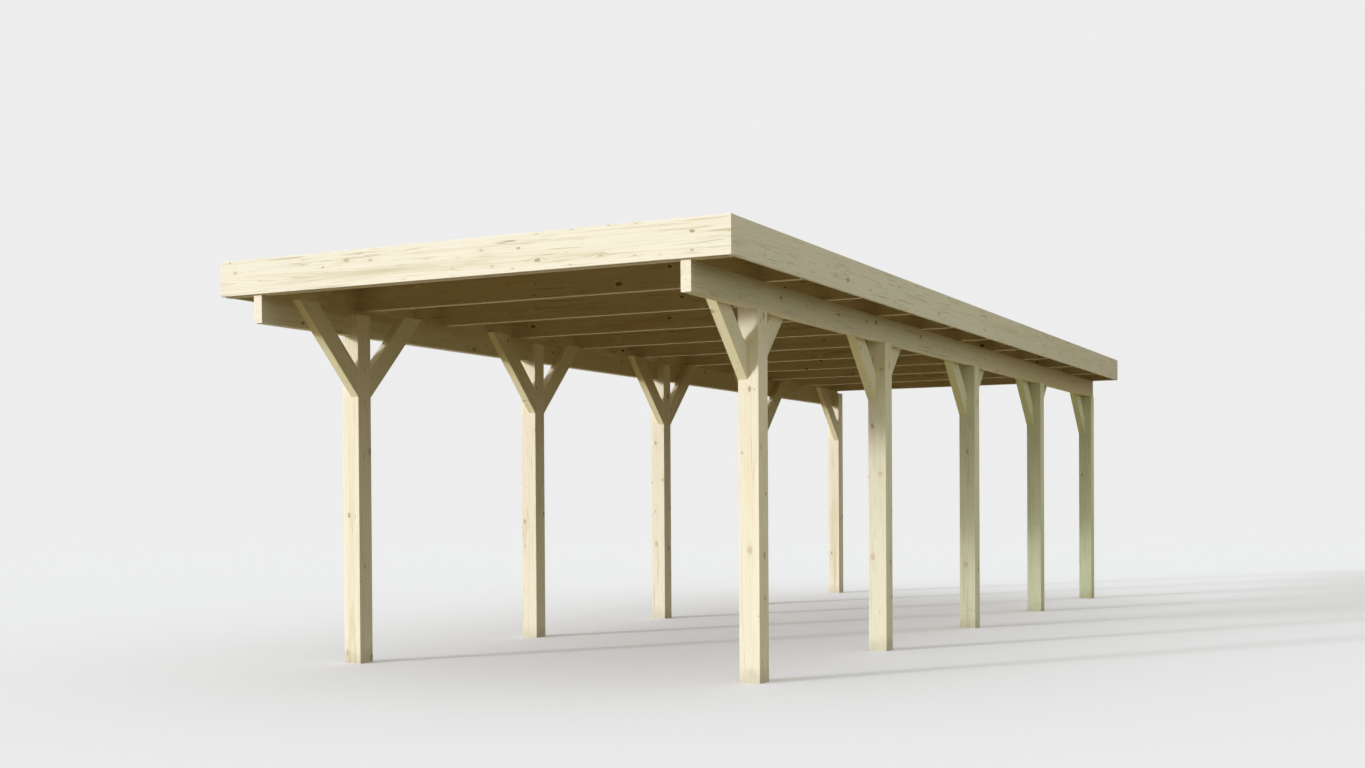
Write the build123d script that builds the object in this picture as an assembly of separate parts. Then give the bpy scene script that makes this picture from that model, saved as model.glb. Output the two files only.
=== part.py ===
"""Open timber carport: two rows of posts, knee braces, purlins, rafters and a flat boarded roof.

Lengths are millimetres. The origin is on the ground, midway along and across the roof.
+X runs across the bay to the right, +Y from the entrance to the rear, +Z up.
"""
from math import cos, radians, sin, tan
import os

from build123d import *

# Rows of posts
POSTS_PER_ROW = 5
POST_SIZE = 120
POST_SPACING = 1990          # centre to centre along a row
ROW_WIDTH = 2750             # over the outer faces of the two rows
HEADROOM = 1975              # ground to the underside of the purlins
HEAD_CLEARANCE = 30          # top of a post below the rafters

# Purlins, the long beams let into the outer side of the post heads
PURLIN_THICKNESS = 56
PURLIN_HEIGHT = 155
PURLIN_INSET = 8             # outer face of a purlin behind the outer face of its posts

# Knee braces, as thick as what is left of the post head
BRACE_DEPTH = 120
BRACE_REACH = 525            # from the face of the post to the far end of the brace
BRACE_SLOPE = 45             # degrees from level

# Rafters, on edge across both purlins
RAFTER_COUNT = 11
RAFTER_THICKNESS = 45
RAFTER_HEIGHT = 145

# Fascia boards round the roof
FRONT_OVERHANG = 795         # front face of the first posts to the front of the roof
REAR_OVERHANG = 75           # rear face of the last posts to the rear of the roof
SIDE_OVERHANG = 215          # outer face of the posts to the side of the roof
FASCIA_THICKNESS = 20
FASCIA_LIFT = 5              # lower edge of the fascia above the underside of the rafters
RIM_HEIGHT = 33              # upper edge of the fascia above the felt

# Roof covering
BOARDING_THICKNESS = 18
FELT_THICKNESS = 4

# Eased edges, as radii
POST_EDGE = 4
BEAM_EDGE = 4
RAFTER_EDGE = 3
FASCIA_EDGE = 2

# Lengths and levels that follow
TONGUE = POST_SIZE - PURLIN_INSET - PURLIN_THICKNESS
PURLIN_TOP = HEADROOM + PURLIN_HEIGHT
POST_HEIGHT = PURLIN_TOP - HEAD_CLEARANCE
RAFTER_TOP = PURLIN_TOP + RAFTER_HEIGHT
BOARDING_TOP = RAFTER_TOP + BOARDING_THICKNESS
FELT_TOP = BOARDING_TOP + FELT_THICKNESS
FASCIA_BOTTOM = PURLIN_TOP + FASCIA_LIFT
FASCIA_HEIGHT = FELT_TOP + RIM_HEIGHT - FASCIA_BOTTOM

ROW_LENGTH = (POSTS_PER_ROW - 1) * POST_SPACING + POST_SIZE
ROOF_LENGTH = FRONT_OVERHANG + ROW_LENGTH + REAR_OVERHANG
ROOF_WIDTH = ROW_WIDTH + 2 * SIDE_OVERHANG
FRAME_FRONT = FASCIA_THICKNESS - ROOF_LENGTH / 2
FRAME_REAR = ROOF_LENGTH / 2 - REAR_OVERHANG
FRAME_WIDTH = ROOF_WIDTH - 2 * FASCIA_THICKNESS
COVER_LENGTH = ROOF_LENGTH - 2 * FASCIA_THICKNESS

FIRST_POST = FRONT_OVERHANG + POST_SIZE / 2 - ROOF_LENGTH / 2
FIRST_RAFTER = FRAME_FRONT + RAFTER_THICKNESS / 2
LAST_RAFTER = FRAME_REAR - RAFTER_THICKNESS / 2
RAFTER_SPACING = (LAST_RAFTER - FIRST_RAFTER) / (RAFTER_COUNT - 1)

SIDES = {"left": -1, "right": 1}
ON_BASE = (Align.CENTER, Align.CENTER, Align.MIN)


def timber(width, length, height, grain, edge):
    """A planed length of timber standing on z = 0, eased along the four edges that follow the grain."""
    blank = Box(width, length, height, align=ON_BASE)
    return fillet(blank.edges().filter_by(grain), edge)


def post_place(side, number):
    """Centre of a post on the ground; posts are numbered from 1 at the entrance."""
    across = side * (ROW_WIDTH - POST_SIZE) / 2
    along = FIRST_POST + (number - 1) * POST_SPACING
    return across, along


def post(side, number):
    """A post whose head keeps only its inner part, the tongue, beside the purlin."""
    across, along = post_place(side, number)
    blank = timber(POST_SIZE, POST_SIZE, POST_HEIGHT, Axis.Z, POST_EDGE)
    rebate = Box(POST_SIZE, 2 * POST_SIZE, PURLIN_HEIGHT, align=ON_BASE)
    return Pos(across, along, 0) * (blank - Pos(side * TONGUE, 0, HEADROOM) * rebate)


def purlin(side):
    """A beam from the back of the front fascia to the rear face of the last post."""
    length = FRAME_REAR - FRAME_FRONT
    across = side * (ROW_WIDTH / 2 - PURLIN_INSET - PURLIN_THICKNESS / 2)
    beam = timber(PURLIN_THICKNESS, length, PURLIN_HEIGHT, Axis.Y, BEAM_EDGE)
    return Pos(across, (FRAME_FRONT + FRAME_REAR) / 2, HEADROOM) * beam


def brace(direction):
    """A knee brace from a post face at y = 0, plumb cut at its foot and level with the purlin's top."""
    slope = radians(BRACE_SLOPE)
    foot = PURLIN_TOP - BRACE_REACH * tan(slope)
    plumb_cut = BRACE_DEPTH / cos(slope)
    level_cut = BRACE_DEPTH / sin(slope)
    outline = Polygon(
        (0, foot),
        (direction * BRACE_REACH, PURLIN_TOP),
        (direction * (BRACE_REACH - level_cut), PURLIN_TOP),
        (0, foot + plumb_cut),
        align=None,
    )
    blank = extrude(Plane.YZ * outline, amount=TONGUE / 2, both=True)
    grain = Axis((0, 0, 0), (0, direction * cos(slope), sin(slope)))
    return fillet(blank.edges().filter_by(grain), BEAM_EDGE)


def braces(side, number):
    """The knee braces of one post: one each way, and on the last post the forward one alone."""
    along = post_place(side, number)[1]
    across = side * (ROW_WIDTH / 2 - POST_SIZE + TONGUE / 2)
    directions = (-1,) if number == POSTS_PER_ROW else (-1, 1)
    pieces = [Pos(across, along + way * POST_SIZE / 2, 0) * brace(way) for way in directions]
    return Compound(children=pieces)


def rafter(number):
    """A rafter between the side fascias; rafters are numbered from 1 at the entrance."""
    along = FIRST_RAFTER + (number - 1) * RAFTER_SPACING
    joist = timber(FRAME_WIDTH, RAFTER_THICKNESS, RAFTER_HEIGHT, Axis.X, RAFTER_EDGE)
    return Pos(0, along, PURLIN_TOP) * joist


def end_fascia(end):
    """A fascia board over the full width of the roof; end is -1 at the front and 1 at the rear."""
    board = timber(ROOF_WIDTH, FASCIA_THICKNESS, FASCIA_HEIGHT, Axis.X, FASCIA_EDGE)
    return Pos(0, end * (ROOF_LENGTH - FASCIA_THICKNESS) / 2, FASCIA_BOTTOM) * board


def side_fascia(side):
    """A fascia board along one side, between the two end boards."""
    board = timber(FASCIA_THICKNESS, COVER_LENGTH, FASCIA_HEIGHT, Axis.Y, FASCIA_EDGE)
    return Pos(side * (ROOF_WIDTH - FASCIA_THICKNESS) / 2, 0, FASCIA_BOTTOM) * board


def roof_layer(underside, thickness):
    """A level layer that fills the roof between the fascia boards."""
    return Pos(0, 0, underside) * Box(FRAME_WIDTH, COVER_LENGTH, thickness, align=ON_BASE)


def carport():
    """Every piece of the carport by name."""
    pieces = {}
    for name, side in SIDES.items():
        for number in range(1, POSTS_PER_ROW + 1):
            pieces[f"post_{name}_{number}"] = post(side, number)
            pieces[f"braces_{name}_{number}"] = braces(side, number)
        pieces[f"purlin_{name}"] = purlin(side)
        pieces[f"fascia_{name}"] = side_fascia(side)
    for number in range(1, RAFTER_COUNT + 1):
        pieces[f"rafter_{number}"] = rafter(number)
    pieces["fascia_front"] = end_fascia(-1)
    pieces["fascia_rear"] = end_fascia(1)
    pieces["roof_boarding"] = roof_layer(RAFTER_TOP, BOARDING_THICKNESS)
    pieces["roof_felt"] = roof_layer(BOARDING_TOP, FELT_THICKNESS)
    return pieces


os.makedirs("parts", exist_ok=True)
for piece_name, shape in carport().items():
    export_step(shape, f"parts/{piece_name}.step")
print(f"roof {ROOF_WIDTH} x {ROOF_LENGTH}, rim at {FASCIA_BOTTOM + FASCIA_HEIGHT}, rafters at {RAFTER_SPACING}")
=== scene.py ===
import math
import random

import bmesh
import bpy
from mathutils import Matrix, Vector, noise


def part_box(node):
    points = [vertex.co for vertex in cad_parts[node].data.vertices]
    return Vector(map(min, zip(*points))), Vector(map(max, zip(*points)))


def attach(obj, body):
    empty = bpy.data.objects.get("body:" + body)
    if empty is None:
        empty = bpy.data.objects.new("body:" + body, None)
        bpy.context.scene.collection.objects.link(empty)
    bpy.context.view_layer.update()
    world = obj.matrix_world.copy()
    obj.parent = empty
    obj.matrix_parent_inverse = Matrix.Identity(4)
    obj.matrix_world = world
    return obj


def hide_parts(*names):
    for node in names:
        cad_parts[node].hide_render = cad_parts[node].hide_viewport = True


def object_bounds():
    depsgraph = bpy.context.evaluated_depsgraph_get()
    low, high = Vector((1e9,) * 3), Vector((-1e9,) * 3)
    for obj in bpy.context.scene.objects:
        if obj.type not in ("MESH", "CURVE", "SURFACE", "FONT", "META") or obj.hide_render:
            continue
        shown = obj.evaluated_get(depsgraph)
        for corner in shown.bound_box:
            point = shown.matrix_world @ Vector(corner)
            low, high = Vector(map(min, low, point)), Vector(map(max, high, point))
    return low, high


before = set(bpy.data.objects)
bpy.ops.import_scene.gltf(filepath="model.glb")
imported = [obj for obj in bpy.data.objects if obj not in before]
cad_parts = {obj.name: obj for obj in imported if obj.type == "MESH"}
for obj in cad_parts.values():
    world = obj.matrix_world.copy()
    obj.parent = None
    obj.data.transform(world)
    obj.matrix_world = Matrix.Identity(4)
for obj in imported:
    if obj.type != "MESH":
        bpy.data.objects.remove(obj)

CAD_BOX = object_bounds()

# Camera, as the photograph was taken: standing low, in front and to the right of the entrance
CAMERA_PLACE = (4.7586, -11.2742, 0.9562)
CAMERA_TURN = 26.803         # degrees to the left of straight ahead
CAMERA_TILT = -0.657         # degrees up from level
CAMERA_ROLL = -0.328         # degrees
CAMERA_LENS = 41.617         # mm on a frame of the next width
CAMERA_FRAME = 36.0          # mm
CAMERA_SHIFT = 0.1004        # upwards, in frame widths
CAMERA_REACH = 500.0         # metres to the furthest thing that it sees

# Light: name, degrees to the left of straight in front, degrees above level, degrees across, strength, colour
LAMPS = (
    ("sun", 33.0, 13.4, 5.0, 1.60, (1.0, 0.99, 1.12)),
    ("glow", 32.0, 14.0, 22.0, 0.50, (1.0, 1.0, 1.09)),
    ("front_sky", 35.0, 7.0, 50.0, 0.76, (1.0, 1.0, 1.04)),
)
SKY_STRENGTH = 0.745
SKY_COLOUR = (1.0, 0.99, 0.93, 1.0)
BACKGROUND = (0.85, 0.85, 0.85, 1.0)  # seen by the camera above the floor

FLOOR_REACH = 140.0          # metres from the middle
FLOOR_SEEN = (0.835, 0.85, 0.875, 1.0)
FLOOR_GLOW = 0.06            # keeps the seen floor pale in the shadow
FLOOR_NEAR = (0.078, 0.058, 0.018, 1.0)  # what the floor gives back to the object, near it and far off
FLOOR_FAR = (0.15, 0.12, 0.05, 1.0)
FLOOR_LAMP = (3.8, 9.8, 25.0, 32.0, (1.0, 0.90, 0.66))  # width, length, watts, degrees across, colour
FLOOR_LAMP_HEIGHT = 0.01
NEAR_ENDS = (1.0, 3.5)       # metres outside the roof between which the near floor turns into the far one
HAZE_ENDS = (6.0, 45.0)      # and between which the floor fades into the backdrop

POSTS_PER_ROW = 5
RAFTERS = 11
BRACE_FOOT = 1.605           # height at which the braces leave the posts
SIDES = {"left": -1, "right": 1}

# Roof boards
BOARD_ROWS = 30
BOARD_JOINT = 0.0006         # gap between neighbouring rows
BOARD_END = 0.0004           # half the gap between two boards of a row
BOARD_BEVEL = 0.0028
TONGUE_LEVEL = 0.45          # height of its middle, in thicknesses of the board
TONGUE_REACH, TONGUE_HALF, TONGUE_TAPER = 0.0058, 0.0024, 0.0004
GROOVE_DEPTH, GROOVE_HALF = 0.0068, 0.0028
ROW_JOINTS = ((4,), (6,), (3, 8), (5,), (2, 7), (6,), (4, 9))  # rafters, from 0, under a row's joints

# Roofing felt
FELT = 0.0035                # thickness of one layer
FELT_STRIPS = 4
FELT_LAP = 0.08
FELT_GRID = (0.09, 0.07)     # metres between the points of a strip, across and along it
FELT_WAVES = ((0.0009, 5.0, 3.0, 1.7), (0.0005, 17.0, 11.0, 4.1))  # height, waves per metre in X, Y, seed
LAP_FALL = 0.016             # a strip comes down over this width beside the edge that it covers
LAP_POINTS = (-0.012, 0.0, 0.005, 0.011, LAP_FALL, 0.03)  # its extra points about that edge
LAP_CLEAR = (0.03, 0.05)     # before and after that edge, where it has no other points
BEAD_SECTION = ((-0.2, 0.9), (0.3, 1.0), (0.75, 0.6), (1.0, 0.0), (-0.2, 0.0))  # in spreads and heights
BEAD_SPREAD = (0.0035, 0.0045)  # least, and how much more at most
BEAD_HEIGHT = (0.0012, 0.12)    # least, and how much more for each metre of spread
BEAD_STEP = 0.045
BEAD_INSET = 0.1             # from the ends of the roof

# Narrow strips of felt turned up against the fascias: name, whether it runs along X, sign of its side
EDGE_STRIPS = (("front", True, -1), ("rear", True, 1), ("left", False, -1), ("right", False, 1))
UPSTAND_DROP = 0.0035        # from the top of the fascias down to the upper edge of a strip
UPSTAND_GAP = 0.0002         # between strip and fascia
UPSTAND_WAVE = 0.002         # unevenness of the upper edge
UPSTAND_STEP = 0.05
FLAT_WIDTH = 0.092           # of the part on the roof
FLAT_WAVE = 0.003            # unevenness of that part's edge
FLAT_POINTS = (0.03, 0.06)   # the points across that part, apart from its ends
CURVE = 0.009                # radius of the bend
CURVE_START = 0.4            # the outer face bends this share of a thickness higher up

# Screws
SCREW_RADIUS = 0.0042
SCREW_PROUD = 0.0004
SCREW_SIDES = 12
SCREW_TURN = 1.3             # radians from one head to the next
SCREW_RINGS = ((1.0, 0.0), (0.93, 1.0), (None, 1.0), (None, 0.25))  # shares of radius and height
RECESS = (0.36, 0.50)        # shares of the radius at the star's corners, where a ring has none above
TONGUE_SCREWS = ((-0.030, 2.070), (0.030, 2.010))    # along from the middle of the post, height
BRACE_FOOT_SCREWS = ((0.050, -0.012), (0.085, 0.012))  # up and along from the foot, across from the middle
BRACE_HEAD_SCREWS = ((0.395, 2.100), (0.455, 2.085))   # along from the face of the post, height
BRACE_HALF = 0.028           # half the thickness of a brace, whose inner face is flush with the post's


class Net:
    """A node tree with short ways to add nodes and join them."""

    def __init__(self, tree):
        self.tree = tree

    def put(self, kind, inputs=(), **settings):
        """A node with its settings and its inputs, given as {socket: value or other socket}."""
        node = self.tree.nodes.new(kind)
        for name, value in settings.items():
            setattr(node, name, value)
        for name, value in dict(inputs).items():
            self.feed(node.inputs[name], value)
        return node

    def feed(self, socket, value):
        """Joins or sets one input."""
        if isinstance(value, bpy.types.NodeSocket):
            self.tree.links.new(value, socket)
        else:
            socket.default_value = value

    def math(self, operation, a, b=0.0):
        """One arithmetic step on numbers."""
        return self.put("ShaderNodeMath", {0: a, 1: b}, operation=operation).outputs[0]

    def add(self, *values):
        """A sum."""
        total = values[0]
        for value in values[1:]:
            total = self.math("ADD", total, value)
        return total

    def times(self, *values):
        """A product."""
        total = values[0]
        for value in values[1:]:
            total = self.math("MULTIPLY", total, value)
        return total

    def length(self, x, y):
        """The length of a flat vector."""
        return self.math("SQRT", self.add(self.times(x, x), self.times(y, y)))

    def vector(self, operation, a, b=(0.0, 0.0, 0.0)):
        """One arithmetic step on vectors."""
        node = self.put("ShaderNodeVectorMath", {0: a, 1: b}, operation=operation)
        return node.outputs["Value" if operation in ("DOT_PRODUCT", "LENGTH") else "Vector"]

    def scaled(self, a, size):
        """A vector times a number."""
        return self.put("ShaderNodeVectorMath", {0: a, "Scale": size}, operation="SCALE").outputs["Vector"]

    def join(self, x, y, z):
        """A vector from three numbers."""
        return self.put("ShaderNodeCombineXYZ", {0: x, 1: y, 2: z}).outputs[0]

    def split(self, vector):
        """The three numbers of a vector."""
        return self.put("ShaderNodeSeparateXYZ", {0: vector}).outputs[:3]

    def noise(self, vector, scale=1.0, detail=2.0, roughness=0.5):
        """Smooth noise from 0 to 1."""
        node = self.put("ShaderNodeTexNoise", {"Vector": vector, "Scale": scale, "Detail": detail,
                                               "Roughness": roughness})
        return node.outputs[0]

    def ramp(self, value, low, high, start=0.0, end=1.0):
        """A smooth step from start to end as value goes from low to high."""
        node = self.put("ShaderNodeMapRange", {"Value": value, "From Min": low, "From Max": high,
                                               "To Min": start, "To Max": end},
                        interpolation_type="SMOOTHSTEP", clamp=True)
        return node.outputs["Result"]

    def mix(self, share, a, b, blend="MIX"):
        """Two colours mixed."""
        node = self.put("ShaderNodeMix", data_type="RGBA", blend_type=blend)
        self.feed(node.inputs["Factor"], share)
        self.feed(node.inputs[6], a)
        self.feed(node.inputs[7], b)
        return node.outputs[2]


def colour(red, green, blue):
    """A colour written as it looks on screen, 0 to 255, as Blender's linear values."""
    def linear(value):
        share = value / 255
        return share / 12.92 if share <= 0.04045 else ((share + 0.055) / 1.055) ** 2.4
    return (linear(red), linear(green), linear(blue), 1.0)


# Timber: planed softwood, pressure treated
EARLY_WOOD = colour(242, 235, 214)
LATE_WOOD = colour(220, 207, 172)
STAIN = colour(180, 168, 118)
WARM_STAIN = colour(228, 202, 160)
# Green: the treated timber's tint, and on the rear right posts and braces partly painted shade
GREEN_TONE_AND_SHADE = colour(211, 238, 205)
# Brown: painted shade under the roof, on inner faces and towards the rear, and the browner tone of rafters
# and roof boards
BROWN_TONE_AND_SHADE = colour(218, 207, 186)
KNOT_CORE = colour(170, 154, 104)
KNOT_RIM = colour(126, 108, 66)
KNOT_DARK = colour(150, 130, 105)
# Pale sapwood, also used as a painted highlight on the braces' lower faces and for the yellow hue of the
# purlins' painted shade
SAPWOOD_AND_PAINTED_LIGHT = colour(252, 242, 194)
CRACK = colour(96, 78, 52)
DIRT = colour(150, 140, 118)

RING_WIDTH = 0.0042
BAND_WIDTH = 0.018           # rings that share a darker or paler tone
PITH_WANDER = 0.075          # how far the pith wanders, all in all
RIPPLE = 0.0046              # unevenness of a ring
LOG_KNOTS = (0.30, 5.0)      # metres along the grain, knots round the pith
BOARD_KNOTS = (0.17, 0.085)  # metres along and across the grain
LOG_BARE, BOARD_BARE = 0.5, 0.45  # share of the places without a knot
KNOT_WOBBLE = 0.005          # unevenness of a knot's outline
KNOT_RAYS = 2600.0           # waves of tone across a knot, in radians per metre
ARRIS = (0.001, 0.0055)      # metres from an edge between which its pale tone ends
FOOT_HEIGHT = 0.12           # the soiled part of a post
TIMBER_SPECULAR = 0.12
SEEDS = 9.0                  # pieces draw their seeds from 0 to this
PAIR_SEED = 1.91             # moves the seeds of a pair of braces apart
NOWHERE = 9.0                # metres: too far from an edge or the ground to show

# Noise drawn out along the grain: waves per metre along and across it, octaves, roughness
UNEVEN_RINGS = (2.2, 26.0, 3.0)
FIBRES = (6.0, 480.0, 2.0)
STREAKS = (2.8, 100.0, 3.0, 0.6)
PATCHES = (0.9, 4.0, 2.0)
FLECKS = (24.0, 190.0, 1.0)
SPLITS = (1.1, 34.0, 1.0)
SPLIT_PLACES = (2.0, 5.0, 1.0)


def group_sockets(tree, direction, kind, names):
    """Names inputs or outputs of a node group that are of one kind."""
    for name in names:
        tree.interface.new_socket(name, in_out=direction, socket_type="NodeSocket" + kind)


def knot_field(net, along, side, out, radius, seed, round_log):
    """Distance from the nearest knot along and round the grain, and three random numbers of that knot.

    In a log the branches run out from the pith, and in a board they run through its thickness.
    """
    if round_log:
        pitch_along, knots_round = LOG_KNOTS
        second = net.times(net.math("ARCTAN2", side, out), knots_round / (2 * math.pi))
    else:
        pitch_along, pitch_across = BOARD_KNOTS
        second = net.math("DIVIDE", net.add(side, net.times(out, 0.25)), pitch_across)
    cell = net.join(net.add(net.math("DIVIDE", along, pitch_along), net.times(seed, 3.7)),
                    net.add(second, 0.0 if round_log else net.times(seed, 5.3)), 0.0)
    voronoi = net.put("ShaderNodeTexVoronoi", {"Vector": cell, "Scale": 1.0, "Randomness": 0.9},
                      voronoi_dimensions="2D", feature="F1")
    cell_along, cell_second, _ = net.split(net.vector("SUBTRACT", cell, voronoi.outputs["Position"]))
    knot_along = net.times(cell_along, pitch_along)
    if round_log:
        knot_round = net.times(cell_second, 2 * math.pi / knots_round, radius)
    else:
        knot_round = net.times(cell_second, pitch_across)
    return knot_along, knot_round, net.split(voronoi.outputs["Color"])


def timber_group(round_log):
    """Solid timber in its own space, in metres: X along the grain, the pith along X at the given place."""
    tree = bpy.data.node_groups.new("log" if round_log else "board", "ShaderNodeTree")
    group_sockets(tree, "INPUT", "Vector", ("Place", "Pith", "Half size"))
    group_sockets(tree, "INPUT", "Float",
                  ("Seed", "Knot radius", "Green", "Brown", "Sapwood and painted light", "Foot", "Dark knots"))
    group_sockets(tree, "OUTPUT", "Color", ("Color",))
    group_sockets(tree, "OUTPUT", "Float", ("Roughness", "Height"))
    net = Net(tree)
    given = net.put("NodeGroupInput").outputs
    place, seed = given["Place"], given["Seed"]
    shift = net.scaled(net.join(7.31, 3.17, 5.77), seed)
    moved = net.vector("ADD", place, shift)

    def drawn_out(along_scale, across_scale, detail, roughness=0.5):
        """Noise drawn out along the grain."""
        stretched = net.vector("MULTIPLY", moved, (along_scale, across_scale, across_scale))
        return net.noise(stretched, 1.0, detail, roughness)

    # The pith wanders slowly, so the rings open and close along the piece
    slow = net.vector("MULTIPLY", moved, (0.42, 1.5, 1.5))
    drift = net.put("ShaderNodeTexNoise", {"Vector": slow, "Scale": 1.0, "Detail": 2.0, "Roughness": 0.4})
    drift = net.scaled(net.vector("SUBTRACT", drift.outputs["Color"], (0.5, 0.5, 0.5)), PITH_WANDER)
    along, side, out = net.split(net.vector("SUBTRACT", net.vector("ADD", place, drift), given["Pith"]))
    radius = net.length(side, out)

    knot_along, knot_round, (chance, size, tone) = knot_field(net, along, side, out, radius, seed, round_log)
    wobble = net.times(net.math("SUBTRACT", net.noise(moved, 70.0, 2.0), 0.5), KNOT_WOBBLE)
    knot_far = net.add(net.length(net.times(knot_along, 0.56), knot_round), wobble)
    knot_size = net.times(given["Knot radius"], net.add(net.times(size, size, size, 1.2), 0.4))
    knot_size = net.times(knot_size, net.math("GREATER_THAN", chance, LOG_BARE if round_log else BOARD_BARE))
    knot_size = net.math("MAXIMUM", knot_size, 0.0001)
    share = net.math("DIVIDE", knot_far, knot_size)
    knot = net.ramp(share, 0.88, 1.05, 1.0, 0.0)
    rim = net.times(net.ramp(share, 0.66, 0.95), net.ramp(share, 1.0, 1.22, 1.0, 0.0))

    # Rings swell round each knot, which draws the grain round it
    near = net.math("DIVIDE", net.length(net.times(knot_along, 0.36), knot_round), knot_size)
    swell = net.times(net.ramp(near, 0.0, 2.6, 1.0, 0.0), knot_size, 0.60)
    ripple = net.times(drawn_out(*UNEVEN_RINGS), RIPPLE)
    depth = net.add(radius, swell, ripple)
    phase = net.math("DIVIDE", depth, RING_WIDTH)
    ring = net.math("FRACT", phase)
    late = net.times(net.ramp(ring, 0.30, 0.84), net.ramp(ring, 0.90, 1.0, 1.0, 0.0))
    count = net.math("FLOOR", phase)
    year = net.put("ShaderNodeTexWhiteNoise", {"W": count}, noise_dimensions="1D").outputs["Value"]
    late = net.times(late, net.ramp(year, 0.0, 1.0, 0.35, 1.0))

    # Bands of rings, fibres, streaks, patches, drying cracks
    beside = net.math("DIVIDE", net.length(net.times(knot_along, 0.14), knot_round), knot_size)
    by_knot = net.times(net.ramp(beside, 0.6, 3.0, 1.0, 0.0), net.math("GREATER_THAN", knot_size, 0.001))
    band = net.join(net.times(along, 0.55), net.math("DIVIDE", depth, BAND_WIDTH), seed)
    band = net.noise(band, 1.0, 2.0, 0.6)
    fibre = drawn_out(*FIBRES)
    streak = drawn_out(*STREAKS)
    patch = drawn_out(*PATCHES)
    warm = net.vector("ADD", net.vector("MULTIPLY", moved, (0.7, 9.0, 9.0)), (4.0, 9.0, 2.0))
    warm = net.noise(warm, 1.0, 2.0)
    fleck = drawn_out(*FLECKS)
    split = net.math("ABSOLUTE", net.math("SUBTRACT", drawn_out(*SPLITS), 0.5))
    split = net.ramp(split, 0.0, 0.006, 1.0, 0.0)
    split = net.times(split, net.ramp(drawn_out(*SPLIT_PLACES), 0.60, 0.66))

    # Distances from the ends and the long faces; on an arris two of the three are small
    away = net.vector("SUBTRACT", given["Half size"], net.vector("ABSOLUTE", place))
    end, flank, face = net.split(away)
    arris = net.math("MINIMUM", net.math("MAXIMUM", flank, face), end)
    arris = net.math("MAXIMUM", net.math("MINIMUM", flank, face), arris)
    skin = net.ramp(end, 0.0, 0.002)

    tint = net.mix(net.times(late, net.add(net.times(by_knot, 0.45), 0.45)), EARLY_WOOD, LATE_WOOD)
    tint = net.mix(net.ramp(band, 0.52, 0.80, 0.0, 0.50), tint, LATE_WOOD)
    tint = net.mix(net.ramp(band, 0.64, 0.82, 0.0, 0.45), tint, STAIN)
    streaks = net.times(net.ramp(streak, 0.54, 0.68, 0.0, 0.72), net.ramp(patch, 0.40, 0.62, 0.25, 1.0))
    tint = net.mix(streaks, tint, STAIN)
    tint = net.mix(net.times(late, by_knot, 0.25), tint, STAIN)
    tint = net.mix(net.ramp(warm, 0.60, 0.76, 0.0, 0.40), tint, WARM_STAIN)
    tint = net.mix(net.ramp(fibre, 0.35, 0.75, 0.0, 0.16), tint, LATE_WOOD)
    tint = net.mix(net.ramp(fleck, 0.70, 0.80, 0.0, 0.35), tint, STAIN)
    # Sapwood, green and brown as each piece sets them: besides the wood's own tones they carry painted shade
    # and the braces' painted highlight
    tint = net.mix(given["Sapwood and painted light"], tint, SAPWOOD_AND_PAINTED_LIGHT)
    green = net.times(net.ramp(patch, 0.20, 0.65, 0.55, 1.0), given["Green"], skin)
    tint = net.mix(green, tint, GREEN_TONE_AND_SHADE, "MULTIPLY")
    tint = net.mix(net.times(given["Brown"], skin), tint, BROWN_TONE_AND_SHADE, "MULTIPLY")
    tint = net.mix(net.ramp(share, 0.9, 2.6, 0.40, 0.0), tint, LATE_WOOD)
    rays = net.times(net.math("SINE", net.times(knot_far, KNOT_RAYS)), 0.10)
    heart = net.mix(net.add(net.times(tone, tone, 0.65), 0.15, rays), LATE_WOOD, KNOT_CORE)
    dark = net.times(net.ramp(tone, 0.35, 0.60), given["Dark knots"])
    heart = net.mix(dark, heart, KNOT_DARK, "MULTIPLY")
    tint = net.mix(knot, tint, heart)
    tint = net.mix(net.times(rim, net.add(net.times(tone, tone, tone, 0.75), 0.10)), tint, KNOT_RIM)
    tint = net.mix(net.times(split, 0.55), tint, CRACK)

    # Worn arrises are paler, and the feet of the posts a little soiled
    worn = net.ramp(net.add(arris, net.times(net.noise(moved, 40.0, 2.0), 0.003)), *ARRIS, 0.45, 0.0)
    tint = net.mix(worn, tint, EARLY_WOOD)
    uneven = net.math("SUBTRACT", net.noise(moved, 16.0, 3.0), 0.5)
    low = net.add(given["Foot"], net.times(uneven, FOOT_HEIGHT))
    tint = net.mix(net.ramp(low, 0.0, FOOT_HEIGHT, 0.28, 0.0), tint, DIRT, "MULTIPLY")

    rough = net.add(net.times(fibre, 0.14), net.times(late, -0.06), net.times(knot, -0.08), 0.58)
    height = net.add(net.times(late, 0.00010), net.times(fibre, 0.00012), net.times(knot, 0.00012),
                     net.times(rim, -0.00025), net.times(split, -0.0006))
    net.put("NodeGroupOutput", {"Color": tint, "Roughness": rough, "Height": height})
    return tree


LOG = timber_group(True)
BOARD = timber_group(False)


def new_material(name):
    """An empty node material."""
    material = bpy.data.materials.new(name)
    material.use_nodes = True
    material.node_tree.nodes.clear()
    return material, Net(material.node_tree)


def shader(net, tint, roughness, height, **fixed):
    """The surface itself, from its colour, roughness and relief in metres."""
    bump = net.put("ShaderNodeBump", {"Height": height, "Strength": 1.0, "Distance": 1.0})
    surface = net.put("ShaderNodeBsdfPrincipled", {"Base Color": tint, "Roughness": roughness,
                                                   "Normal": bump.outputs[0], **fixed})
    net.put("ShaderNodeOutputMaterial", {"Surface": surface.outputs[0]})


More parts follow.
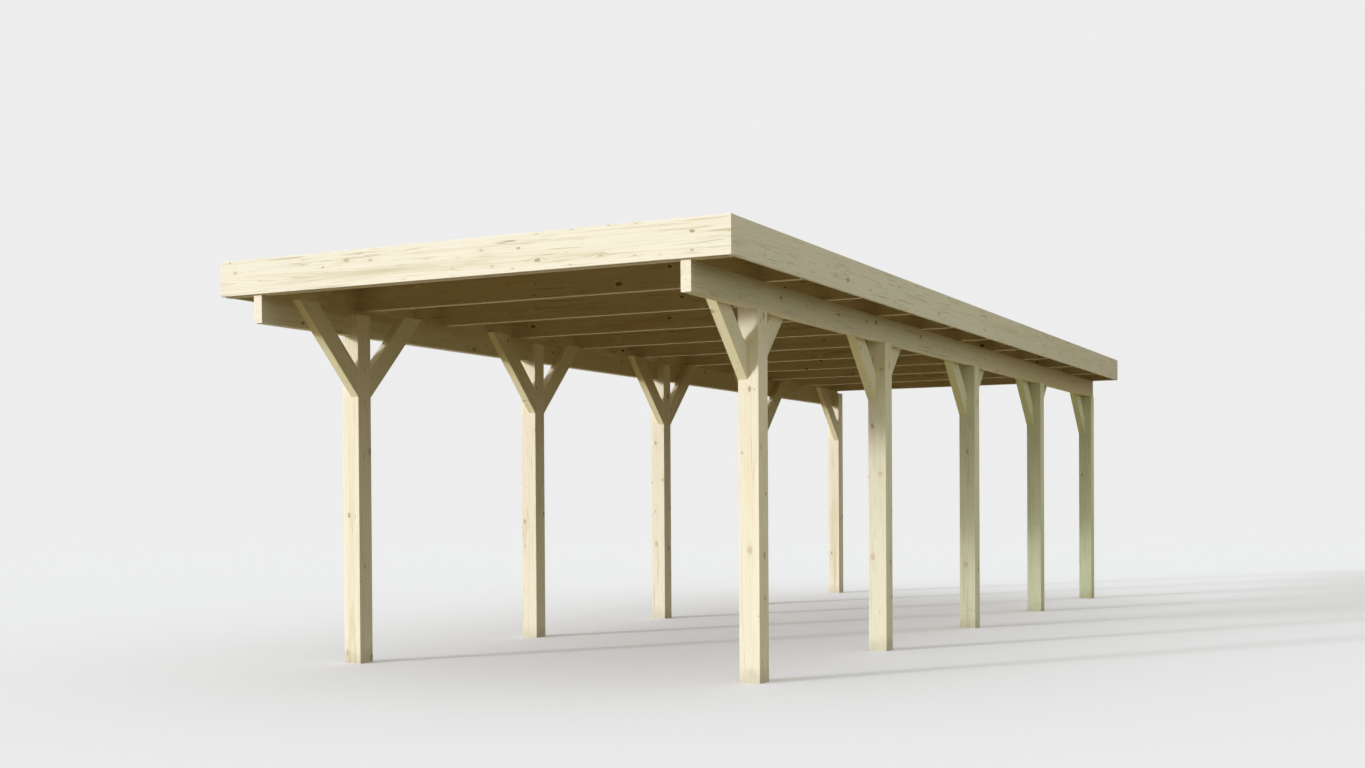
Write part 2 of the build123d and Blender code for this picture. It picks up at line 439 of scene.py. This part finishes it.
def timber_surface(net, group, inputs):
    """Joins the timber group to the surface."""
    timber = net.put("ShaderNodeGroup", node_tree=group)
    for socket, value in inputs.items():
        net.feed(timber.inputs[socket], value)
    shader(net, timber.outputs["Color"], timber.outputs["Roughness"], timber.outputs["Height"],
           **{"Specular IOR Level": TIMBER_SPECULAR})


def dress(piece, material):
    """Gives every face of a piece one material."""
    piece.data.materials.clear()
    piece.data.materials.append(material)
    for polygon in piece.data.polygons:
        polygon.material_index = 0


X_AXIS, Y_AXIS, Z_AXIS = (1.0, 0.0, 0.0), (0.0, 1.0, 0.0), (0.0, 0.0, 1.0)
HALF = math.sqrt(0.5)
UP_BRACE, ACROSS_BRACE = (0.0, HALF, HALF), (0.0, -HALF, HALF)

# Where the pith lies: furthest to the side, least and greatest distance from the middle plane, in metres
BOXED_HEART = (0.02, (0.0, 0.03))
SIDE_BOARD = (0.05, (0.035, 0.08))

# Between which distances from the middle, the ground or the lower face the painted shade and the braces'
# painted highlight change, in metres
PURLIN_INNER, PURLIN_TOP = (1.315, 1.363), (2.03, 2.12)
SIDE_FASCIA_INNER, END_FASCIA_INNER = (1.571, 1.576), (4.456, 4.461)
BRACE_LOWER, BRACE_TOP = (0.002, 0.008), (1.80, 2.02)

# Tints that differ from piece to piece, from the entrance to the rear
# The right posts' green, which their braces take too, grows towards the rear: partly the treated timber's own
# tint, partly painted greenish shade
POST_GREEN_AND_SHADE = (0.05, 0.18, 0.36, 0.53, 0.64)  # right posts only
BRACE_GREEN = 0.12           # the least of any pair of braces
PURLIN_GREEN = {"left": 0.15, "right": 0.25}
# Painted shade on the upper ends of the left braces, under the roof, deeper towards the rear
BRACE_PAINTED_SHADE = ((0.80, 0.0), (0.95, 0.25), (1.0, 0.8), (1.0, 0.8), (1.0, 0.8))  # left: lower face, others


def purlin_painted_shade(net, x, y, z):
    """Painted shade: browner towards the rear, most of all on the inner face, and towards the top, under the
    roof.
    """
    inner = net.ramp(net.math("ABSOLUTE", x), *PURLIN_INNER, net.ramp(y, -3.4, 1.6, 0.25, 1.0), 0.3)
    top = net.ramp(z, *PURLIN_TOP, 0.0, 0.70)
    return net.math("MAXIMUM", net.math("MAXIMUM", inner, top), net.ramp(y, -1.5, 3.5))


def purlin_sapwood_and_shade_hue(net, _, y, __):
    """More sapwood towards the rear, which gives the painted shade there its yellow hue."""
    return net.ramp(y, -3.0, 2.5, 0.1, 0.55)


def side_fascia_painted_shade(net, x, y, _):
    """Painted shade: brown on the inner face, and a little towards the rear."""
    inner = net.ramp(net.math("ABSOLUTE", x), *SIDE_FASCIA_INNER, 1.0, 0.0)
    return net.math("MAXIMUM", inner, net.ramp(y, -2.0, 4.0, 0.0, 0.50))


def end_fascia_painted_shade(net, _, y, __):
    """Painted shade: brown on the inner face only."""
    return net.ramp(net.math("ABSOLUTE", y), *END_FASCIA_INNER, 1.0, 0.0)


def brace_rise(net, post, y, z):
    """Height above the lower face of the braces at a post."""
    low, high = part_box(post)
    middle, half = (low.y + high.y) / 2, (high.y - low.y) / 2
    out = net.add(net.math("ABSOLUTE", net.math("SUBTRACT", y, middle)), -half)
    return net.math("SUBTRACT", net.add(z, -BRACE_FOOT), out)


def brace_painted_shade(post, number):
    """Painted shade: browner towards the top, under the roof, and most of all on the lower face."""
    def share(net, _, y, z):
        most = net.ramp(brace_rise(net, post, y, z), *BRACE_LOWER, *BRACE_PAINTED_SHADE[number - 1])
        return net.times(net.ramp(z, *BRACE_TOP), most)

    return share


def brace_sapwood_and_highlight(post):
    """Pale sapwood tone along the lower face of both braces at a post, much more than on their other faces: a
    painted highlight where the low sun falls.
    """
    def share(net, _, y, z):
        return net.ramp(brace_rise(net, post, y, z), *BRACE_LOWER, 0.75, 0.25)

    return share


# Inputs of the timber group for each kind of piece: numbers, or functions of the place that give one
PLAIN = {"Green": 0.0, "Brown": 0.0, "Sapwood and painted light": 0.0, "Dark knots": 0.0}
POST = {**PLAIN, "Knot radius": 0.0065, "Sapwood and painted light": 0.25}
BRACE = {**PLAIN, "Knot radius": 0.005}
PURLIN = {**PLAIN, "Knot radius": 0.009, "Brown": purlin_painted_shade, "Sapwood and painted light": purlin_sapwood_and_shade_hue, "Dark knots": 0.5}
# Rafters and roof boards are browned all over: a browner grade of timber, and painted shade under the roof
RAFTER = {**PLAIN, "Knot radius": 0.0085, "Green": 0.1, "Brown": 1.0, "Dark knots": 0.9}
ROOF_BOARD = {**PLAIN, "Knot radius": 0.008, "Green": 0.2, "Brown": 1.0, "Dark knots": 0.6}
SIDE_FASCIA = {**PLAIN, "Knot radius": 0.0065, "Green": 0.24, "Brown": side_fascia_painted_shade}
END_FASCIA = {**PLAIN, "Knot radius": 0.0068, "Green": 0.1, "Brown": end_fascia_painted_shade}


def member_material(name, group, grain, width, draw, pith_reach, looks, mirror=False):
    """Timber with its grain and width along the given directions, unlike any other piece.

    With mirror, the grain is mirrored about the centre in Y, for a pair of knee braces.
    """
    material, net = new_material("timber_" + name)
    low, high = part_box(name)
    here = net.put("ShaderNodeTexCoord").outputs["Object"]
    place = net.vector("SUBTRACT", here, tuple((low + high) / 2))
    seed = draw.uniform(0.0, SEEDS)
    looks = {socket: look(net, *net.split(here)) if callable(look) else look
             for socket, look in looks.items()}
    axes = (Vector(grain), Vector(width), Vector(grain).cross(Vector(width)))
    if mirror:
        x, y, z = net.split(place)
        seed = net.add(net.times(net.math("SIGN", y), PAIR_SEED), seed)
        place = net.join(x, net.math("ABSOLUTE", y), z)
        half_size = (NOWHERE,) * 3
    else:
        half_size = tuple(abs(((high - low) / 2).dot(axis)) for axis in axes)
    own = net.join(*[net.vector("DOT_PRODUCT", place, tuple(axis)) for axis in axes])
    to_side, through = pith_reach
    pith = (0.0, draw.uniform(-1.0, 1.0) * to_side, draw.choice((-1, 1)) * draw.uniform(*through))
    foot = net.split(here)[2] if group is LOG else NOWHERE
    timber_surface(net, group, {"Place": own, "Pith": pith, "Half size": half_size, "Seed": seed,
                                "Foot": foot, **looks})
    return material


def dress_timbers():
    """Each structural piece gets timber of its own."""
    draw = random.Random(11)

    def timber(name, group, grain, width, pith_reach, looks, mirror=False):
        """Timber for one piece."""
        material = member_material(name, group, grain, width, draw, pith_reach, looks, mirror)
        dress(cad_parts[name], material)

    for side in SIDES:
        for number in range(1, POSTS_PER_ROW + 1):
            post = f"post_{side}_{number}"
            green = POST_GREEN_AND_SHADE[number - 1] if side == "right" else 0.0
            timber(post, LOG, Z_AXIS, X_AXIS, BOXED_HEART, {**POST, "Green": green})
            brown = brace_painted_shade(post, number) if side == "left" else 0.0
            looks = {"Green": max(green, BRACE_GREEN), "Brown": brown, "Sapwood and painted light": brace_sapwood_and_highlight(post)}
            timber(f"braces_{side}_{number}", BOARD, UP_BRACE, ACROSS_BRACE, SIDE_BOARD, {**BRACE, **looks},
                   mirror=True)
        timber(f"purlin_{side}", BOARD, Y_AXIS, Z_AXIS, SIDE_BOARD, {**PURLIN, "Green": PURLIN_GREEN[side]})
        timber(f"fascia_{side}", BOARD, Y_AXIS, Z_AXIS, SIDE_BOARD, SIDE_FASCIA)
    for number in range(1, RAFTERS + 1):
        timber(f"rafter_{number}", BOARD, X_AXIS, Z_AXIS, SIDE_BOARD, RAFTER)
    for end in ("front", "rear"):
        timber(f"fascia_{end}", BOARD, X_AXIS, Z_AXIS, SIDE_BOARD, END_FASCIA)


class Form:
    """Points and faces of one mesh piece, with the grain's own place and a number for each point."""

    def __init__(self):
        self.points, self.faces, self.grain, self.seeds = [], [], [], []

    def add(self, points, faces, grain=None, seed=0.0):
        """Adds a closed shell."""
        first = len(self.points)
        self.points += [tuple(point) for point in points]
        self.faces += [tuple(first + corner for corner in face) for face in faces]
        self.grain += grain or [(0.0, 0.0, 0.0)] * len(points)
        self.seeds += [seed] * len(points)

    def tube(self, rings, grain=None, seed=0.0):
        """Adds a closed shell through rings of as many points each, with flat ends."""
        size = len(rings[0])
        last = (len(rings) - 1) * size
        faces = []
        for first in range(0, last, size):
            for corner in range(size):
                here, after = first + corner, first + (corner + 1) % size
                faces.append((here, after, after + size, here + size))
        faces += [tuple(reversed(range(size))), tuple(range(last, last + size))]
        self.add([point for ring in rings for point in ring], faces, grain, seed)

    def sheet(self, columns, rows, top, bottom):
        """Adds a closed sheet over a grid of X and Y places, between two heights."""
        wide, deep = len(columns), len(rows)
        below = wide * deep
        points = [(x, y, top(x, y)) for y in rows for x in columns]
        points += [(x, y, bottom(x, y)) for y in rows for x in columns]
        faces = []
        for row in range(deep - 1):
            for column in range(wide - 1):
                a = row * wide + column
                b, c, d = a + 1, a + wide + 1, a + wide
                faces += [(a, b, c, d), (below + d, below + c, below + b, below + a)]
        edge = list(range(wide)) + [row * wide + wide - 1 for row in range(1, deep)]
        edge += [(deep - 1) * wide + column for column in range(wide - 2, -1, -1)]
        edge += [row * wide for row in range(deep - 2, 0, -1)]
        for here, after in zip(edge, edge[1:] + edge[:1]):
            faces.append((here, here + below, after + below, after))
        self.add(points, faces)

    def piece(self, name, material, slot, nodes=(), smooth=False):
        """Makes the finished object, riding on the frame."""
        mesh = bpy.data.meshes.new(name)
        mesh.from_pydata(self.points, [], self.faces)
        work = bmesh.new()
        work.from_mesh(mesh)
        bmesh.ops.recalc_face_normals(work, faces=work.faces)
        work.to_mesh(mesh)
        work.free()
        grain = mesh.attributes.new("grain", "FLOAT_VECTOR", "POINT")
        grain.data.foreach_set("vector", [value for point in self.grain for value in point])
        seeds = mesh.attributes.new("seed", "FLOAT", "POINT")
        seeds.data.foreach_set("value", self.seeds)
        mesh.materials.append(material)
        mesh.polygons.foreach_set("use_smooth", [smooth] * len(mesh.polygons))
        made = bpy.data.objects.new(name, mesh)
        bpy.context.scene.collection.objects.link(made)
        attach(made, "root")
        if nodes:
            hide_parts(*nodes)


def roof_board_material():
    """Roof boards: their grain and number come from the mesh, and the number scatters the pith."""
    material, net = new_material("roof_boards")
    place = net.put("ShaderNodeAttribute", attribute_name="grain").outputs["Vector"]
    seed = net.put("ShaderNodeAttribute", attribute_name="seed").outputs["Fac"]
    pith = net.join(0.0, net.times(net.math("SINE", net.times(seed, 12.9)), 0.04),
                    net.add(net.times(net.math("SINE", net.times(seed, 7.7)), 0.02), 0.05))
    timber_surface(net, BOARD, {"Place": place, "Pith": pith, "Half size": (NOWHERE,) * 3, "Seed": seed,
                                "Foot": NOWHERE, **ROOF_BOARD})
    return material


def board_outline(width, thickness, tongued):
    """A roof board from its end: bevels for the V joints underneath, a groove, and a tongue if wanted."""
    level = thickness * TONGUE_LEVEL
    below, above = level - TONGUE_HALF, level + TONGUE_HALF
    outline = [(BOARD_BEVEL, 0.0), (width - BOARD_BEVEL, 0.0), (width, BOARD_BEVEL), (width, below)]
    if tongued:
        tip = width + TONGUE_REACH
        outline += [(tip, below + TONGUE_TAPER), (tip, above - TONGUE_TAPER)]
    outline += [(width, above), (width, thickness), (0.0, thickness), (0.0, level + GROOVE_HALF)]
    outline += [(GROOVE_DEPTH, level + GROOVE_HALF), (GROOVE_DEPTH, level - GROOVE_HALF)]
    return outline + [(0.0, level - GROOVE_HALF), (0.0, BOARD_BEVEL)]


def make_roof_boards():
    """Tongued and grooved boards along the roof, jointed over the rafters, with a V joint underneath."""
    low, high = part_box("roof_boarding")
    pitch = (high.x - low.x) / BOARD_ROWS
    width, thickness = pitch - BOARD_JOINT, high.z - low.z
    rafters = [(sum(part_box(f"rafter_{number}"), Vector()) / 2).y for number in range(1, RAFTERS + 1)]
    material = roof_board_material()
    draw = random.Random(5)
    for row in range(BOARD_ROWS):
        left = low.x + row * pitch
        outline = board_outline(width, thickness, row < BOARD_ROWS - 1)
        joints = [rafters[number] for number in ROW_JOINTS[row % len(ROW_JOINTS)]]
        places = [low.y, *joints, high.y]
        form = Form()
        for start, end in zip(places, places[1:]):
            seed = draw.uniform(0.0, SEEDS)
            ends = (start + BOARD_END, end - BOARD_END)
            rings = [[(left + u, y, low.z + v) for u, v in outline] for y in ends]
            grain = [(y, u - width / 2, v - thickness / 2) for y in ends for u, v in outline]
            form.tube(rings, grain, seed)
        form.piece(f"roof_boards_row_{row + 1}", material, "roof_boards", ("roof_boarding",))


def smooth_step(value, low, high):
    """0 below low, 1 above high, smooth between."""
    share = min(1.0, max(0.0, (value - low) / (high - low)))
    return share * share * (3 - 2 * share)


def felt_material():
    """Bitumen roofing felt with mineral granules, faded in places."""
    material, net = new_material("roofing_felt")
    here = net.put("ShaderNodeTexCoord").outputs["Object"]
    grain = net.put("ShaderNodeTexVoronoi", {"Vector": here, "Scale": 620.0}, feature="F1")
    speck = net.split(grain.outputs["Color"])[0]
    fine = net.noise(here, 900.0, 1.0)
    patch = net.noise(here, 1.1, 4.0, 0.6)
    streak = net.noise(net.vector("MULTIPLY", here, (9.0, 0.8, 9.0)), 1.0, 3.0)
    tint = net.mix(net.ramp(speck, 0.0, 1.0), colour(52, 54, 56), colour(104, 106, 106))
    tint = net.mix(net.ramp(speck, 0.93, 0.97, 0.0, 0.8), tint, colour(158, 158, 152))
    tint = net.mix(net.ramp(patch, 0.42, 0.72, 0.0, 0.45), tint, colour(122, 121, 114))
    tint = net.mix(net.ramp(streak, 0.50, 0.75, 0.0, 0.25), tint, colour(70, 70, 68))
    rough = net.add(net.times(fine, 0.12), 0.82)
    bulge = net.math("SUBTRACT", 0.6, grain.outputs["Distance"])
    height = net.add(net.times(bulge, 0.0006), net.times(fine, 0.0002))
    shader(net, tint, rough, height, **{"Specular IOR Level": 0.35})
    return material


def bitumen_material():
    """The black bead that bleeds out of a lap."""
    material, net = new_material("bitumen")
    here = net.put("ShaderNodeTexCoord").outputs["Object"]
    blot = net.noise(here, 60.0, 3.0)
    tint = net.mix(net.ramp(blot, 0.35, 0.7), colour(30, 29, 28), colour(58, 56, 53))
    shader(net, tint, net.ramp(blot, 0.3, 0.7, 0.28, 0.55), net.times(blot, 0.0004))
    return material


def screw_material():
    """Yellow zinc."""
    material, net = new_material("yellow_zinc")
    here = net.put("ShaderNodeTexCoord").outputs["Object"]
    blot = net.noise(here, 900.0, 2.0)
    tint = net.mix(net.ramp(blot, 0.3, 0.7), colour(188, 164, 110), colour(226, 206, 152))
    shader(net, tint, net.ramp(blot, 0.3, 0.7, 0.28, 0.48), net.times(blot, 0.00002), **{"Metallic": 1.0})
    return material


def felt_lie(x, y):
    """How far the felt stands up from flat, in metres."""
    return sum(height * noise.noise(Vector((x * in_x, y * in_y, seed)))
               for height, in_x, in_y, seed in FELT_WAVES)


def felt_strip_edges():
    """Left and right edge of each strip."""
    low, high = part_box("roof_felt")
    wide = (high.x - low.x + (FELT_STRIPS - 1) * FELT_LAP) / FELT_STRIPS
    starts = [low.x + number * (wide - FELT_LAP) for number in range(FELT_STRIPS)]
    return [(start, start + wide) for start in starts]


def lap_height(x):
    """1 where two strips lie on each other, falling to 0 beside the lap."""
    edges = felt_strip_edges()
    for (_, before), (after, _) in zip(edges, edges[1:]):
        if after <= x <= before + LAP_FALL:
            return 1 - smooth_step(x, before, before + LAP_FALL)
    return 0.0


def felt_top(x, y):
    """Height of the felt's upper face, without the strips along the edges."""
    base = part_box("roof_boarding")[1].z
    return base + FELT * (1 + lap_height(x)) + felt_lie(x, y)


def spaced(start, end, step):
    """Numbers from start to end, about step apart."""
    count = max(1, round((end - start) / step))
    return [start + (end - start) * number / count for number in range(count + 1)]


def make_felt():
    """Four long strips with laps, and a narrow strip turned up against the boards round the roof."""
    low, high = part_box("roof_felt")
    material = felt_material()
    beads = Form()
    covered = None
    for number, (left, right) in enumerate(felt_strip_edges()):
        felt_strip(f"felt_strip_{number + 1}", left, right, covered, material)
        if covered is not None:
            rows = spaced(low.y + BEAD_INSET, high.y - BEAD_INSET, BEAD_STEP)
            lap_bead(beads, [(left, y, low.z + FELT + felt_lie(left, y)) for y in rows])
        covered = right
    for name, along_x, sign in EDGE_STRIPS:
        reach = (low.x, high.x) if along_x else (low.y + FELT, high.y - FELT)
        form = Form()
        form.tube([edge_section(place, along_x, sign) for place in spaced(*reach, UPSTAND_STEP)])
        form.piece(f"felt_edge_{name}", material, "roofing_felt", ("roof_felt",))
    beads.piece("felt_lap_beads", bitumen_material(), "roofing_felt", ("roof_felt",), smooth=True)


def felt_strip(name, left, right, covered, material):
    """One long strip. Where it laps another, covered is that one's right edge, underneath it."""
    low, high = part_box("roof_felt")
    columns = spaced(left, right, FELT_GRID[0])
    if covered is not None:
        before, after = LAP_CLEAR
        columns = [x for x in columns if not covered - before < x < covered + after]
        columns = sorted(columns + [covered + point for point in LAP_POINTS])

    def under(x, y):
        """Height of the strip's lower face."""
        lift = 0.0 if covered is None else 1 - smooth_step(x, covered, covered + LAP_FALL)
        return low.z + FELT * lift + felt_lie(x, y)

    form = Form()
    form.sheet(columns, spaced(low.y, high.y, FELT_GRID[1]), lambda x, y: under(x, y) + FELT, under)
    form.piece(name, material, "roofing_felt", ("roof_felt",))


def lap_bead(form, line):
    """An uneven low bead to the left of a line."""
    to_left = Vector((-1.0, 0.0, 0.0))
    rings = []
    for number, place in enumerate(line):
        unevenness = abs(noise.noise(Vector((number * 0.37, place[0] * 9.0, place[1] * 2.0))))
        spread = BEAD_SPREAD[0] + BEAD_SPREAD[1] * unevenness
        height = BEAD_HEIGHT[0] + BEAD_HEIGHT[1] * spread
        rings.append([Vector(place) + to_left * spread * share + Vector((0.0, 0.0, height * lift))
                      for share, lift in BEAD_SECTION])
    form.tube(rings)


def edge_section(place, along_x, sign):
    """Section of a strip along the roof's edge: up the inside of the board, round and out over the felt."""
    low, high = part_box("roof_felt")
    wall = (high.y if along_x else high.x) * sign

    def spot(inward, height):
        """A point at a distance from the board."""
        across = wall - sign * inward
        return (place, across, height) if along_x else (across, place, height)

    def ground(inward):
        """Height of the felt under the strip; the side strips also climb over the ends' strips."""
        x, y, _ = spot(inward, 0.0)
        inside = min(high.y - y, y - low.y)
        lift = 0.0 if along_x else 1 - smooth_step(inside, FLAT_WIDTH, FLAT_WIDTH + LAP_FALL)
        return felt_top(x, y) + FELT * lift

    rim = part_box("fascia_front")[1].z - UPSTAND_DROP
    top = rim - UPSTAND_WAVE * abs(noise.noise(Vector((place * 4.0, sign, 8.0))))
    reach = FLAT_WIDTH + FLAT_WAVE * noise.noise(Vector((place * 6.0, sign * 2.0, 3.0)))
    floor = ground(CURVE)
    inner = [(UPSTAND_GAP, top), (UPSTAND_GAP, floor + CURVE)]
    outer = [(FELT, top), (FELT, floor + CURVE + FELT * CURVE_START)]
    for angle in (math.radians(30), math.radians(60)):
        inward, rise = CURVE * (1 - math.cos(angle)), CURVE * (1 - math.sin(angle))
        inner.append((inward, floor + rise))
        outer.append((FELT + inward, floor + FELT + rise))
    for inward in (CURVE + FELT, *FLAT_POINTS, reach):
        inner.append((inward, ground(inward)))
        outer.append((inward, ground(inward) + FELT))
    return [spot(*pair) for pair in outer + inner[::-1]]


def make_screws():
    """Countersunk heads with a star recess, in the tongues and braces from inside and at the braces' feet."""
    places = []
    for side, sign in SIDES.items():
        for number in range(1, POSTS_PER_ROW + 1):
            low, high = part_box(f"post_{side}_{number}")
            face = low.x if sign > 0 else high.x
            inwards = (-sign, 0.0, 0.0)
            for along, height in TONGUE_SCREWS:
                places.append(((face, (low.y + high.y) / 2 + along, height), inwards))
            for way, post_face in ((-1, low.y), (1, high.y)):
                if number == POSTS_PER_ROW and way > 0:
                    continue
                for reach, across in BRACE_FOOT_SCREWS:
                    foot = (face + sign * BRACE_HALF + across, post_face + way * reach, BRACE_FOOT + reach)
                    places.append((foot, (0.0, way, -1.0)))
                for reach, height in BRACE_HEAD_SCREWS:
                    places.append(((face, post_face + way * reach, height), inwards))
    form = Form()
    for number, (place, direction) in enumerate(places):
        form.tube(screw_head(place, direction, number * SCREW_TURN))
    form.piece("screws_inside", screw_material(), "beam_timber")


def screw_head(place, direction, turn):
    """Rings of points of one head, turned about its own axis."""
    normal = Vector(direction).normalized()
    across = normal.orthogonal().normalized()
    other = normal.cross(across)
    rings = []
    for share, height in SCREW_RINGS:
        ring = []
        for corner in range(SCREW_SIDES):
            angle = 2 * math.pi * corner / SCREW_SIDES + turn
            radius = SCREW_RADIUS * (share or RECESS[corner % 2])
            ring.append(Vector(place) + (across * math.cos(angle) + other * math.sin(angle)) * radius
                        + normal * SCREW_PROUD * height)
        rings.append(ring)
    return rings


def seen_ray(net):
    """1 for a ray from the camera, or one mirrored or let through by gloss or glass."""
    path = net.put("ShaderNodeLightPath").outputs
    both = net.math("MAXIMUM", path["Is Camera Ray"], path["Is Glossy Ray"])
    return net.math("MAXIMUM", both, path["Is Transmission Ray"])


def make_stage():
    """A wide floor that looks pale, but sends little light up under the roof."""
    mesh = bpy.data.meshes.new("floor")
    corners = [(x * FLOOR_REACH, y * FLOOR_REACH, 0) for x, y in ((-1, -1), (1, -1), (1, 1), (-1, 1))]
    mesh.from_pydata(corners, [], [(0, 1, 2, 3)])
    floor = bpy.data.objects.new("floor", mesh)
    bpy.context.scene.collection.objects.link(floor)
    material, net = new_material("floor")
    here = net.put("ShaderNodeTexCoord").outputs["Object"]
    beyond = net.vector("SUBTRACT", net.vector("ABSOLUTE", here), tuple(CAD_BOX[1]))
    beyond = net.vector("LENGTH", net.vector("MAXIMUM", beyond, (0.0, 0.0, 0.0)))
    bounce = net.mix(net.ramp(beyond, *NEAR_ENDS), FLOOR_NEAR, FLOOR_FAR)
    gives = net.put("ShaderNodeBsdfDiffuse", {"Color": bounce})
    seen = net.put("ShaderNodeBsdfDiffuse", {"Color": FLOOR_SEEN})
    glow = net.put("ShaderNodeEmission", {"Color": (1.0, 1.0, 1.0, 1.0), "Strength": FLOOR_GLOW})
    seen = net.put("ShaderNodeAddShader", {0: seen.outputs[0], 1: glow.outputs[0]})
    haze = net.put("ShaderNodeEmission", {"Color": BACKGROUND, "Strength": 1.0})
    away = net.ramp(beyond, *HAZE_ENDS)
    seen = net.put("ShaderNodeMixShader", {0: away, 1: seen.outputs[0], 2: haze.outputs[0]})
    both = net.put("ShaderNodeMixShader", {0: seen_ray(net), 1: gives.outputs[0], 2: seen.outputs[0]})
    net.put("ShaderNodeOutputMaterial", {"Surface": both.outputs[0]})
    dress(floor, material)


def make_light():
    """A low soft sun from the front left, the bright sky round it, an even sky, and light off the floor."""
    for name, from_left, height, across, strength, tint in LAMPS:
        data = bpy.data.lights.new(name, "SUN")
        data.energy = strength
        data.angle = math.radians(across)
        data.color = tint
        lamp = bpy.data.objects.new(name, data)
        bpy.context.scene.collection.objects.link(lamp)
        left, up = math.radians(from_left), math.radians(height)
        towards = Vector((-math.sin(left) * math.cos(up), -math.cos(left) * math.cos(up), math.sin(up)))
        lamp.rotation_euler = towards.to_track_quat("Z", "Y").to_euler()
    wide, deep, watts, across, tint = FLOOR_LAMP
    data = bpy.data.lights.new("floor_lamp", "AREA")
    data.shape = "RECTANGLE"
    data.size = wide
    data.size_y = deep
    data.energy = watts
    data.spread = math.radians(across)
    data.color = tint
    lamp = bpy.data.objects.new("floor_lamp", data)
    lamp.location = (0.0, 0.0, FLOOR_LAMP_HEIGHT)
    lamp.rotation_euler = (math.pi, 0.0, 0.0)  # upwards
    lamp.visible_camera = False
    bpy.context.scene.collection.objects.link(lamp)
    world = bpy.data.worlds.new("sky")
    world.use_nodes = True
    world.node_tree.nodes.clear()
    net = Net(world.node_tree)
    light = net.put("ShaderNodeBackground", {"Color": SKY_COLOUR, "Strength": SKY_STRENGTH})
    seen = net.put("ShaderNodeBackground", {"Color": BACKGROUND, "Strength": 1.0})
    both = net.put("ShaderNodeMixShader", {0: seen_ray(net), 1: light.outputs[0], 2: seen.outputs[0]})
    net.put("ShaderNodeOutputWorld", {"Surface": both.outputs[0]})
    bpy.context.scene.world = world


def make_camera():
    """The photograph's view."""
    data = bpy.data.cameras.new("camera")
    data.sensor_width = CAMERA_FRAME
    data.lens = CAMERA_LENS
    data.shift_y = CAMERA_SHIFT
    data.clip_end = CAMERA_REACH
    camera = bpy.data.objects.new("camera", data)
    bpy.context.scene.collection.objects.link(camera)
    turn = Matrix.Rotation(math.radians(CAMERA_TURN), 4, "Z")
    tilt = Matrix.Rotation(math.radians(90.0 + CAMERA_TILT), 4, "X")
    roll = Matrix.Rotation(math.radians(CAMERA_ROLL), 4, "Z")
    camera.matrix_world = Matrix.Translation(CAMERA_PLACE) @ turn @ tilt @ roll
    bpy.context.scene.camera = camera


make_camera()
make_light()
make_stage()
dress_timbers()
make_roof_boards()
make_felt()
make_screws()
bpy.context.scene.view_settings.view_transform = "Standard"
